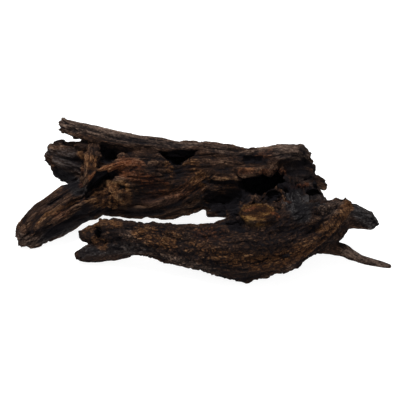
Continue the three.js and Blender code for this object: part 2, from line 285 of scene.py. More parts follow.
# %% Limb lines
LIMBS = {
    "trunk": dict(long=6.0, crackle=0.45, stations=[
        (-140, 66, 52, 36), (-99, 64, 46, 44), (-50, 64, 46, 44), (-12, 65, 51, 41), (28, 65, 54, 39),
        (77, 62, 52, 37), (118, 60, 52, 33), (138, 62, 49, 16)]),
    "crest": dict(long=6.0, crackle=0.3, stations=[
        (38, 60, 80, 11), (84, 51, 87, 14), (104, 51, 91, 15), (119, 53, 89, 14), (130, 55, 80, 10)]),
    "slab": dict(long=11.0, crackle=0.1, rough=0.8, stations=[
        (-118, 74, 66, 30), (-156, 77, 68, 25), (-180, 81, 72, 16), (-191, 83, 73, 9)]),
    "leg": dict(long=12.0, crackle=0.05, rough=0.9, stations=[
        (-92, 56, 40, 20), (-132, 39, 36, 26), (-168, 11, 32, 27), (-202, -13, 18, 22), (-219, -22, 11, 6)]),
    "rib": dict(long=13.0, crackle=0.1, stations=[
        (34, 63, 81, 10), (-24, 64, 90, 12), (-98, 69, 99, 12), (-147, 76, 110, 12), (-172, 80, 115, 8)]),
    "crown": dict(long=4.0, crackle=0.5, stations=[
        (82, 64, 47, 47), (99, 12, 42, 36), (101, -18, 42, 36), (98, -50, 42, 42)]),
    "root": dict(long=4.0, crackle=1.0, rough=0.6, stations=[
        (173, -26, 49, 13), (150, -37, 46, 26), (108, -68, 43, 36), (68, -83, 36, 38), (32, -86, 36, 34),
        (-11, -76, 33, 24), (-58, -65, 36, 20), (-100, -55, 34, 20), (-112, -53, 31, 14)]),
    "upper_finger": dict(long=7.0, crackle=0.4, rough=0.6, stations=[
        (-90, -55, 33, 15), (-121, -46, 30, 12), (-143, -44, 31, 4)]),
    "lower_finger": dict(long=7.0, crackle=0.4, rough=0.5, stations=[
        (-84, -58, 25, 17), (-121, -58, 13, 13), (-147, -56, 8, 4)]),
    "brow": dict(long=5.0, crackle=0.4, rough=0.5, stations=[(-90, -56, 44, 11), (-124, -52, 46, 4)]),
    "horn": dict(long=14.0, crackle=0.0, rough=0.35, stations=[
        (146, -34, 48, 21), (177, -26, 46, 16), (201, -24, 36, 10), (208, -23, 32, 6)]),
    "tail": dict(long=14.0, crackle=0.0, rough=0.4, stations=[
        (116, -42, 28, 16), (158, -52, 18, 9), (188, -68, 11, 6), (220, -82, 10, 3)]),
    "shoulder": dict(long=8.0, crackle=0.2, rough=0.7, stations=[
        (-129, 54, 92, 8), (-132, 34, 81, 9), (-136, 27, 68, 7), (-143, 18, 47, 2)]),
    "brace": dict(long=8.0, crackle=0.1, rough=0.7, stations=[
        (-141, 22, 57, 5), (-119, 26, 78, 6), (-94, 36, 83, 5), (-82, 41, 84, 3)]),
    "burl": dict(long=1.6, crackle=0.4, stations=[(-103, 50, 46, 16), (-102, 19, 46, 16)]),
    "lintel": dict(long=8.0, crackle=0.1, stations=[(38, 40, 75, 4), (64, 30, 79, 8), (98, 40, 77, 4)]),
    "sweep": dict(long=9.0, crackle=0.1, rough=0.7, stations=[
        (-112, 40, 22, 12), (-56, 34, 27, 21), (-12, 34, 48, 21), (16, 44, 72, 12)]),
    "leg_ridge": dict(long=12.0, crackle=0.0, stations=[
        (-205, -17, 22, 4), (-170, -1, 46, 6), (-132, 28, 56, 3)]),
    "belly_ridge": dict(long=6.0, crackle=0.5, rough=0.6, stations=[
        (156, -58, 54, 5), (112, -95, 33, 9), (48, -109, 23, 8), (16, -98, 20, 5)]),
    "top_ridge": dict(long=6.0, crackle=0.8, rough=0.6, stations=[
        (42, -62, 60, 7), (-6, -62, 49, 7), (-74, -56, 48, 6)]),
    "spur": dict(long=8.0, crackle=0.2, stations=[(48, 28, 30, 12), (7, 17, 25, 4)]),
    "stump": dict(long=5.0, crackle=0.3, stations=[(6, 88, 55, 18), (20, 110, 59, 12), (24, 116, 60, 10)]),
}
LINE_STEPS = 24


def smooth_line(stations):
    """The stations of a limb, made into a fine smooth line by a Catmull-Rom curve."""
    knots = np.array([stations[0], *stations, stations[-1]], float)
    line = []
    for a, b, c, d in zip(knots, knots[1:], knots[2:], knots[3:]):
        for t in np.linspace(0, 1, LINE_STEPS // (len(stations) - 1) + 1, endpoint=False):
            line.append(0.5 * (2 * b + (c - a) * t + (2 * a - 5 * b + 4 * c - d) * t**2
                               + (3 * b - a - 3 * c + d) * t**3))
    return np.array(line + [knots[-1]])


print(len(LIMBS), "limbs; the root's line has", len(smooth_line(LIMBS["root"]["stations"])), "points")

# %% Grain coordinates
SHARE_SHARPNESS = 9.0
FIRST_SIDE = (0.2, 0.3, 1.0)


def grain_coordinates(points, stations):
    """For each point: its offset in two directions and distance along the limb, and its place in the wall."""
    line = smooth_line(stations)
    centres, radii = line[:, :3], line[:, 3]
    near = np.full(len(points), np.inf)
    coordinates = np.zeros((len(points), 3))
    wall = np.zeros(len(points))
    side = None
    travelled = 0.0
    for start, end, r0, r1 in zip(centres, centres[1:], radii, radii[1:]):
        run = end - start
        length = np.linalg.norm(run)
        ahead = run / length
        if side is None:
            side = np.cross(ahead, FIRST_SIDE)
        side = side - ahead * (side @ ahead)
        side /= np.linalg.norm(side)
        over = np.cross(ahead, side)
        share = np.clip((points - start) @ ahead / length, 0, 1)
        offset = points - (start + share[:, None] * run)
        distance = np.linalg.norm(offset, axis=1)
        closer = distance < near
        near[closer] = distance[closer]
        wall[closer] = (distance / (r0 + share * (r1 - r0)))[closer]
        beyond = (points - start) @ ahead - share * length
        place = np.stack([offset @ side, offset @ over, travelled + share * length + beyond], 1)
        coordinates[closer] = place[closer]
        travelled += length
    return coordinates, wall


def share_out(points):
    """Each limb's grain coordinates and its share in each point."""
    fields = [grain_coordinates(points, limb["stations"]) for limb in LIMBS.values()]
    walls = np.stack([wall for _, wall in fields], 1)
    shares = np.exp(-SHARE_SHARPNESS * (walls - walls.min(1, keepdims=True)))
    shares /= shares.sum(1, keepdims=True)
    return [coordinates for coordinates, _ in fields], shares


grain, shares = share_out(points)
print("most of the surface belongs to the", list(LIMBS)[int(np.bincount(shares.argmax(1)).argmax())])

# %% [markdown]
# ## Noise to carve with
#
# Blender's own noise works on one point at a time, which is slow for a hundred thousand points. Two small
# functions do it for whole arrays. The first is smooth noise: each corner of a lattice has a random slope,
# and the slopes are blended between corners. The second gives the distance to the walls between cells
# around scattered seeds, which is how drying wood breaks into blocks. Both read a fixed shuffled table.

# %% Noise
TABLE = 256
NOISE_GAIN = 1.7
dice = np.random.default_rng(11)
SHUFFLED = dice.permutation(TABLE)
SLOPES = dice.normal(size=(TABLE, 3))
SLOPES /= np.linalg.norm(SLOPES, axis=1, keepdims=True)
SEEDS = dice.random((TABLE, 3))
FAR = 9.0


def entry(cell):
    """The table entry that belongs to a lattice cell."""
    x, y, z = (cell % TABLE).T
    return SHUFFLED[(SHUFFLED[(SHUFFLED[x] + y) % TABLE] + z) % TABLE]


def smooth_noise(at):
    """Smooth noise from about -1 to 1."""
    cell = np.floor(at).astype(int)
    part = at - cell
    ease = part**3 * (part * (part * 6 - 15) + 10)
    total = np.zeros(len(at))
    for corner in product((0, 1), repeat=3):
        slope = SLOPES[entry(cell + corner)]
        weight = np.where(corner, ease, 1 - ease).prod(1)
        total += weight * (slope * (part - corner)).sum(1)
    return NOISE_GAIN * total


def wall_distance(at):
    """How much farther the second nearest seed is than the nearest: 0 on the wall between two cells."""
    cell = np.floor(at).astype(int)
    nearest = np.full(len(at), FAR)
    second = np.full(len(at), FAR)
    for step in product((-1, 0, 1), repeat=3):
        seed = cell + step + SEEDS[entry(cell + step)]
        distance = np.linalg.norm(at - seed, axis=1)
        second = np.minimum(second, np.maximum(nearest, distance))
        nearest = np.minimum(nearest, distance)
    return second - nearest


def ramp(values, low, high):
    """0 below low, 1 above high, and smooth between them."""
    t = np.clip((values - low) / (high - low), 0, 1)
    return t * t * (3 - 2 * t)


sample = smooth_noise(dice.random((999, 3)) * 50)
print("noise spans", round(float(sample.min()), 2), "to", round(float(sample.max()), 2))

# %% [markdown]
# ## Trimming the outline
#
# Held against the photograph, the blank's outline is a millimetre or two off in places. A nudge is a
# stretch of the outline, between two pixels with the wood on its right hand, and how many pixels that edge
# moves out. Below zero it moves in. Only the wood near the edge moves, and only at that limb's own depth.
# A ray from the camera, sent a little inside the edge, finds that depth.

# %% Finding the log behind a pixel
def surface_tree(mesh):
    """A search tree of a mesh's faces."""
    bm = bmesh.new()
    bm.from_mesh(mesh)
    tree = BVHTree.FromBMesh(bm)
    bm.free()
    return tree


def pixel_finder(mesh):
    """A function that gives the point of a mesh, in millimetres, that a pixel of the photograph shows."""
    tree = surface_tree(mesh)

    def find(px, py):
        place = tree.ray_cast(EYE, photo_ray(px, py))[0]
        if place is None:
            raise ValueError(f"pixel {px}, {py} misses the log")
        return np.array(place) / MM

    return find


# %% Nudges
NUDGES = {
    # x0, y0, x1, y1 in pixels; pixels to move out
    "rib and trunk's top": [
        (90, 124, 132, 133, -1.0), (132, 133, 170, 138, -1.0), (170, 138, 208, 141, -1.8),
        (208, 141, 250, 147, -2.4), (258, 148, 276, 144, -1.6), (276, 144, 298, 142, -2.0),
        (314, 160, 318, 176, -1.6)],
    "horn, slab and leg, upper edge": [
        (322, 201, 332, 199, -2.6), (336, 199, 346, 199, 1.6), (52, 143, 78, 141, -1.4),
        (38, 202, 62, 188, -1.2), (15, 230, 20, 219, -1.6)],
    "tail and root, lower edge": [
        (342, 242, 360, 252, 1.2), (352, 257, 318, 254, 1.0), (320, 252, 304, 263, -1.6),
        (300, 266, 280, 271, 2.3), (276, 274, 250, 281, -2.2), (240, 281, 218, 275, 1.3),
        (160, 259, 134, 256, -1.6), (132, 256, 112, 260, 1.2)],
    "leg and trunk, lower edge": [
        (94, 222, 76, 231, -3.4), (76, 231, 62, 238, -2.0), (62, 238, 42, 247, -3.0),
        (40, 247, 20, 246, -1.4), (206, 210, 180, 217, -2.8), (176, 219, 160, 220, 0.9)],
    "root, upper edge": [
        (96, 219, 115, 218, 1.2), (116, 219, 150, 220, -1.8), (150, 223, 176, 225, 0.8),
        (194, 225, 216, 221, -1.4)],
}
NUDGE_INSIDE = 8.0
NUDGE_OUTSIDE = (3.0, 6.0)
NUDGE_END = 4.0
NUDGE_DEPTH = (24.5, 35.0)
PROBE_PLACES = (0.2, 0.5, 0.8)
PROBE_INSET = 4.0


def nudged(points, find):
    """The points, with the wood near each stretch of the outline moved across the picture."""
    px, py = photo_pixels(points)
    depths = points @ np.array(FORWARD)
    moves = np.zeros(points.shape)
    for x0, y0, x1, y1, shift in rows(NUDGES):
        length = math.hypot(x1 - x0, y1 - y0)
        ax, ay = (x1 - x0) / length, (y1 - y0) / length
        along = (px - x0) * ax + (py - y0) * ay
        out = (px - x0) * ay - (py - y0) * ax
        probes = [find(x0 + t * (x1 - x0) - PROBE_INSET * ay, y0 + t * (y1 - y0) + PROBE_INSET * ax)
                  for t in PROBE_PLACES]
        limb_depth = np.mean([probe @ np.array(FORWARD) for probe in probes])
        amount = ramp(along, -NUDGE_END, NUDGE_END)
        amount *= 1 - ramp(along, length - NUDGE_END, length + NUDGE_END)
        amount *= ramp(out, -NUDGE_INSIDE, 0) * (1 - ramp(out, *NUDGE_OUTSIDE))
        amount *= 1 - ramp(np.abs(depths - limb_depth), *NUDGE_DEPTH)
        moves += (shift * MM_PER_PIXEL * amount)[:, None] * np.array(ay * RIGHT + ax * UPWARD)
    return points + moves


points = nudged(points, pixel_finder(log.data))
write_points(log.data, points)
print(len(rows(NUDGES)), "nudges")

# %% [markdown]
# ## Carving the large features
#
# The photograph shows ledges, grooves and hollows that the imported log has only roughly. A carver would cut
# them with a gouge, one stroke each. A stroke here runs between two pixels of the photograph. A ray from
# the camera finds where each end meets the blank, and the wood near the line between them is pushed in or
# pulled out. A depth below zero is a groove, and above zero it is a ridge.

# %% Carving strokes
STROKES = {
    # x0, y0, x1, y1 in pixels; radius and depth in millimetres
    "groove between the rib and the trunk": [
        (104, 146, 118, 148, 4, -2.5), (118, 148, 160, 151, 4.5, -4), (196, 154, 240, 157, 4, -2.5)],
    "rib's long grooves": [
        (72, 130, 120, 138, 3, -2), (110, 136, 170, 145, 3, -2), (160, 143, 235, 150, 3, -2)],
    "slab's level grooves": [
        (50, 160, 78, 163, 3.5, -3), (56, 170, 82, 176, 4, -4), (52, 150, 76, 149, 3, -2)],
    "leg's grooves and the ridge between them": [
        (26, 226, 62, 198, 3.5, -3.5), (38, 231, 76, 204, 3.5, -3.5), (32, 232, 74, 199, 3.5, 3),
        (46, 238, 78, 215, 4, -3), (20, 232, 48, 203, 3, 1.5)],
    "under the shoulder ridge and the brace": [
        (76, 160, 82, 190, 4, -4), (96, 186, 118, 172, 4, -4), (90, 198, 104, 184, 4, -5)],
    "ledges over the trunk's right front": [
        (238, 171, 285, 171, 4, 3), (246, 158, 268, 160, 4, -2.5),
        (286, 176, 318, 178, 4, 2.5), (286, 182, 316, 184, 3.5, -3)],
    "folds to the right of the knot hole": [
        (290, 190, 291, 206, 2.6, -2.5), (297, 190, 298, 208, 2.6, -2.5), (294, 190, 294, 207, 2.4, 2)],
    "trunk's lower front, where the grain sweeps up to the right": [
        (120, 206, 190, 190, 3, -1.8), (150, 208, 206, 186, 3, -1.8), (165, 211, 212, 192, 3, 1.8),
        (208, 182, 234, 181, 2.6, -3), (212, 178, 240, 178, 2.6, 2), (220, 187, 244, 186, 2.8, 2.5),
        (206, 192, 240, 191, 3, -3.5), (200, 203, 238, 197, 5, -4), (204, 209, 236, 204, 3, -3),
        (124, 205, 168, 196, 2.4, -1.8), (168, 196, 202, 176, 2.4, -1.8), (140, 210, 184, 199, 2.4, -1.8),
        (184, 199, 212, 180, 2.4, -1.8), (158, 213, 196, 202, 2.4, -1.8)],
    "front root's ridges and hollows": [
        (346, 207, 318, 236, 5, 3.5), (318, 236, 286, 254, 5, 3), (286, 254, 250, 268, 5, 2.5),
        (330, 212, 300, 226, 5, -3), (300, 226, 262, 238, 5, -2.5), (238, 232, 205, 238, 5, -3),
        (232, 222, 244, 228, 6, -4), (300, 244, 262, 250, 4, -2.5), (244, 206, 214, 226, 4, 2),
        (206, 246, 150, 236, 4, -2), (140, 229, 196, 233, 4, 1.5)],
    "bark beside the sawn knot": [
        (279, 206, 279, 216, 3, -3), (258, 225, 276, 222, 3, -3), (234, 216, 240, 223, 4, -3)],
    "leg's lower edge and pale ridge": [
        (44, 234, 80, 216, 6, -3), (36, 226, 46, 215, 3, 2), (46, 215, 76, 201, 3, 2)],
    "fork": [
        (97, 228, 99, 229, 4, -4), (92, 243, 116, 240, 4, -4), (84, 236, 108, 233, 3.5, 1.5),
        (120, 246, 160, 247, 4, -2)],
}
TINY = 1e-9


def distance_to_stroke(points, start, end):
    """How far each point is from the line between two points."""
    run = end - start
    share = np.clip((points - start) @ run / max(run @ run, TINY), 0, 1)
    return np.linalg.norm(points - start - share[:, None] * run, axis=1)


find_on_log = pixel_finder(log.data)
lift = np.zeros(len(points))
for x0, y0, x1, y1, radius, depth in rows(STROKES):
    distance = distance_to_stroke(points, find_on_log(x0, y0), find_on_log(x1, y1))
    lift += depth * np.exp(-(distance / radius) ** 2)
points += lift[:, None] * read_normals(log.data)
write_points(log.data, points)
print(len(rows(STROKES)), "strokes; deepest", round(lift.min(), 1), "mm")

# %% [markdown]
# ## Pressing in the hollows
#
# The dark hollows have clear outlines in the photograph. Each one is given by the corners of a convex shape
# in pixels. The wood that is seen inside the shape is pressed straight back, away from the camera.

# %% Pits
PITS = {
    # depth in millimetres, then the corners in pixels, in the order of a clock
    "rot hole under the rib": (
        20, [(160, 152), (178, 151), (196, 151), (187, 160), (178, 166), (168, 160)]),
    "big hollow above the knot": (
        14, [(242, 175), (258, 173), (276, 174), (290, 177), (288, 189), (270, 193), (252, 191), (243, 187)]),
    "behind the shoulder": (9, [(102, 150), (113, 150), (117, 156), (110, 162), (102, 162)]),
    "behind the brace": (9, [(96, 171), (107, 170), (108, 179), (98, 185), (88, 191), (88, 184)]),
    "knot hole": (10, [(268, 195), (272, 193), (278, 193), (279, 197), (274, 200), (268, 200)]),
    "right of the knot hole": (2, [(306, 193), (318, 192), (323, 196), (318, 201), (308, 201)]),
    "under the crest": (5, [(243, 157), (262, 156), (262, 162), (246, 163)]),
    "fork's eye": (5, [(96, 226), (101, 226), (101, 231), (97, 231)]),
    "burl's upper edge": (4, [(119, 184), (125, 184), (125, 189), (120, 189)]),
    "left of the burl": (3, [(97, 195), (103, 194), (103, 205), (98, 204)]),
    "right of the burl": (3, [(131, 195), (140, 194), (140, 205), (131, 204)]),
    "root, below the knot": (4, [(226, 224), (238, 222), (242, 229), (230, 233)]),
    "knot's left side": (1.5, [(240, 210), (245, 209), (249, 211), (249, 215), (245, 216), (240, 215)]),
}
PIT_EDGE = 1.3
PIT_REACH = 45.0
PIT_FACING = (-0.3, 0.1)


def inside_shape(px, py, corners):
    """How many pixels each place lies inside a convex shape: below zero outside it."""
    depth = np.full(len(px), np.inf)
    for (x0, y0), (x1, y1) in zip(corners, corners[1:] + corners[:1]):
        length = math.hypot(x1 - x0, y1 - y0)
        depth = np.minimum(depth, ((x1 - x0) * (py - y0) - (y1 - y0) * (px - x0)) / length)
    return depth


px, py = photo_pixels(points)
towards_eye = np.array(EYE) / MM - points
towards_eye /= np.linalg.norm(towards_eye, axis=1, keepdims=True)
seen = ramp((read_normals(log.data) * towards_eye).sum(1), *PIT_FACING)
find_on_log = pixel_finder(log.data)
pressed = np.zeros(len(points))
for depth, corners in PITS.values():
    middle = find_on_log(*np.mean(corners, axis=0).tolist())
    near = np.linalg.norm(points - middle, axis=1) < PIT_REACH
    amount = ramp(inside_shape(px, py, corners), -PIT_EDGE, PIT_EDGE)
    pressed = np.maximum(pressed, depth * amount * seen * near)
points -= pressed[:, None] * towards_eye
write_points(log.data, points)
print(len(PITS), "pits; pressed in:", int((pressed > 1).sum()), "points")

# %% [markdown]
# ## Carving the grain
#
# Now the furrows. Four sizes of noise are read in the grain coordinates and drawn out along the limb. Their
# absolute value has sharp valleys and round ridges, as furrows in old wood have. Splits come next: long
# narrow cracks where another noise is near zero. The block cracks come on top, mostly on the front root.
# Where limbs meet, each one's relief counts by its share. The sawn knot's face stays nearly flat.
#
# The relief is kept: the material uses it to darken the valleys, as painted shade, and to pale the worn
# ridges.

# %% Furrows, splits and blocks
FURROWS = [
    # width of a furrow and its depth, in millimetres
    (15.0, 2.2),
    (8.0, 1.9),
    (4.6, 1.3),
    (2.8, 0.7),
]
RIDGE_HEIGHT = 2.4
VALLEY_DEPTH = 0.7
SPLIT_WIDTH = 10.0
SPLIT_EDGE = 0.07
SPLIT_GATE = (-0.1, 0.25)
GATE_SCALE = (1.3, 1.3, 2.6)
LINE_SEED = 40
GATE_SEED = 80
BLOCK_SIZE = 6.5
BLOCK_LENGTH = 1.8
BLOCK_GAP = 0.16
BLOCK_BEND = 0.35
BEND_SIZE = 9.0


def furrow_relief(at, long, seed):
    """Relief in millimetres along one limb: negative in the furrows."""
    relief = np.zeros(len(at))
    for width, depth in FURROWS:
        scale = np.array([1 / width, 1 / width, 1 / (width * long)])
        wave = np.abs(smooth_noise(at * scale + seed))
        relief += depth * (RIDGE_HEIGHT * wave - VALLEY_DEPTH)
    return relief


def splits(at, long, seed):
    """How open the long cracks along the grain are at each point, from 0 to 1."""
    scale = np.array([1 / SPLIT_WIDTH, 1 / SPLIT_WIDTH, 1 / (SPLIT_WIDTH * long)])
    line = 1 - ramp(np.abs(smooth_noise(at * scale + seed + LINE_SEED)), 0, SPLIT_EDGE)
    return line * ramp(smooth_noise(at * scale * GATE_SCALE + seed + GATE_SEED), *SPLIT_GATE)


def block_cracks(at, seed):
    """How open the cracks between blocks are at each point, from 0 to 1."""
    scale = np.array([1, 1, 1 / BLOCK_LENGTH]) / BLOCK_SIZE
    bend = BLOCK_BEND * smooth_noise(at / BEND_SIZE + seed)
    return 1 - ramp(wall_distance(at * scale + bend[:, None]), 0, BLOCK_GAP)


# %% Relief of all limbs
SPLIT_DEPTH = 2.6
BLOCK_DEPTH = 1.7
LEAST_SHARE = 0.02
SEED_STEP = 10.0
THIN_LIMB = 12.0
THINNEST_RELIEF = 0.35

relief = np.zeros(len(points))
cracks = np.zeros(len(points))
for i, limb in enumerate(LIMBS.values()):
    mine = shares[:, i] > LEAST_SHARE
    at = grain[i][mine]
    share = shares[mine, i]
    open_splits = splits(at, limb["long"], SEED_STEP * i)
    open_blocks = limb["crackle"] * block_cracks(at, SEED_STEP * i)
    furrows = limb.get("rough", 1.0) * furrow_relief(at, limb["long"], SEED_STEP * i)
    relief[mine] += share * (furrows - SPLIT_DEPTH * open_splits)
    cracks[mine] += share * np.maximum(open_blocks, open_splits)
    relief[mine] -= share * BLOCK_DEPTH * open_blocks
limb_radii = np.array([np.mean([station[3] for station in limb["stations"]]) for limb in LIMBS.values()])
relief *= np.clip(shares @ limb_radii / THIN_LIMB, THINNEST_RELIEF, 1)
print("cracks cover", round(100 * float((cracks > 0.5).mean())), "% of the points")

# %% The sawn knot's face
KNOT_CENTRE = np.array([64.8, -71.8])
KNOT_RIM = (20.0, 23.0)
KNOT_FOOT = (66.5, 70.0)
KNOT_FLATNESS = 0.88
KNOT_WHOLENESS = 0.8


def knot_places(points):
    """How far each point is from the sawn knot's middle, and how much it is part of the knot: 0 to 1."""
    off_centre = np.linalg.norm(points[:, :2] - KNOT_CENTRE, axis=1)
    return off_centre, (1 - ramp(off_centre, *KNOT_RIM)) * ramp(points[:, 2], *KNOT_FOOT)


_, on_knot = knot_places(points)
relief *= 1 - KNOT_FLATNESS * on_knot
cracks *= 1 - KNOT_WHOLENESS * on_knot
points += relief[:, None] * read_normals(log.data)
points[:, 2] = np.maximum(points[:, 2], 0)
write_points(log.data, points)
print("relief from", round(relief.min(), 1), "to", round(relief.max(), 1), "mm")

# %% [markdown]
# ## Shelter
#
# The wood is painted darker where little light reaches it: painted shade in the hollows and corners. Short
# rays from each point, in directions spread over a ball, tell how sheltered it is: the share of them that
# meet the log again nearby.

# %% Shelter
RAY_COUNT = 22
RAY_REACH = 70.0
RAY_START = 1.0
LEAST_FACING = 0.12
SHELTER_ROUNDS = 3


def ball_directions(count):
    """Directions spread evenly over a ball, by the golden angle."""
    k = np.arange(count) + 0.5
    height = 1 - 2 * k / count
    angle = k * math.pi * (3 - math.sqrt(5))
    across = np.sqrt(1 - height**2)
    return np.stack([across * np.cos(angle), across * np.sin(angle), height], 1)


def shelter_of(points, normals, tree):
    """The share of the rays leaving each point that meet the log again."""
    starts = (points + RAY_START * normals) * MM
    blocked = np.zeros(len(points))
    cast = np.zeros(len(points))
    for direction in ball_directions(RAY_COUNT):
        facing = normals @ direction
        ray = Vector(direction)
        for i in np.flatnonzero(facing > LEAST_FACING):
            if tree.ray_cast(Vector(starts[i]), ray, RAY_REACH * MM)[0] is not None:
                blocked[i] += facing[i]
        cast += np.where(facing > LEAST_FACING, facing, 0)
    return blocked / np.maximum(cast, TINY)


shelter = shelter_of(points, read_normals(log.data), surface_tree(log.data))
for _ in range(SHELTER_ROUNDS):
    shelter = 0.5 * (shelter + mean_of(shelter))
print("sheltered by more than half:", round(100 * float((shelter > 0.5).mean())), "% of the points")

# %% [markdown]
# ## Thinning the net
#
# The carving needed an even net, but a smooth stretch of wood can do with fewer triangles than a crack. What
# each point has is stored on the mesh first, and then a decimate modifier drops the triangles that matter
# least.

# %% Thinning
MOST_TRIANGLES = 196000
FULL_RELIEF = 3.0


def store(mesh, name, values):
    """Keeps one number or one vector for each vertex in an attribute of the mesh."""
    kind, slot = ("FLOAT", "value") if values.ndim == 1 else ("FLOAT_VECTOR", "vector")
    kept = mesh.attributes.new(name, kind, "POINT")
    kept.data.foreach_set(slot, values.astype(np.float32).ravel())


def count_triangles(mesh):
    """How many triangles a mesh's faces make."""
    return sum(len(polygon.vertices) - 2 for polygon in mesh.polygons)


store(log.data, "relief", np.clip(relief / FULL_RELIEF, -1, 1))
store(log.data, "cracks", np.clip(cracks, 0, 1))
store(log.data, "shelter", shelter)
store(log.data, "pressed", pressed)
store(log.data, "crackle", shares @ np.array([limb["crackle"] for limb in LIMBS.values()]))
before = count_triangles(log.data)
thin = log.modifiers.new("thin", "DECIMATE")
thin.ratio = min(1.0, MOST_TRIANGLES / before)
thin.use_collapse_triangulate = True
applied(log)
points = read_points(log.data)
print("thinned from", before, "to", count_triangles(log.data), "triangles")
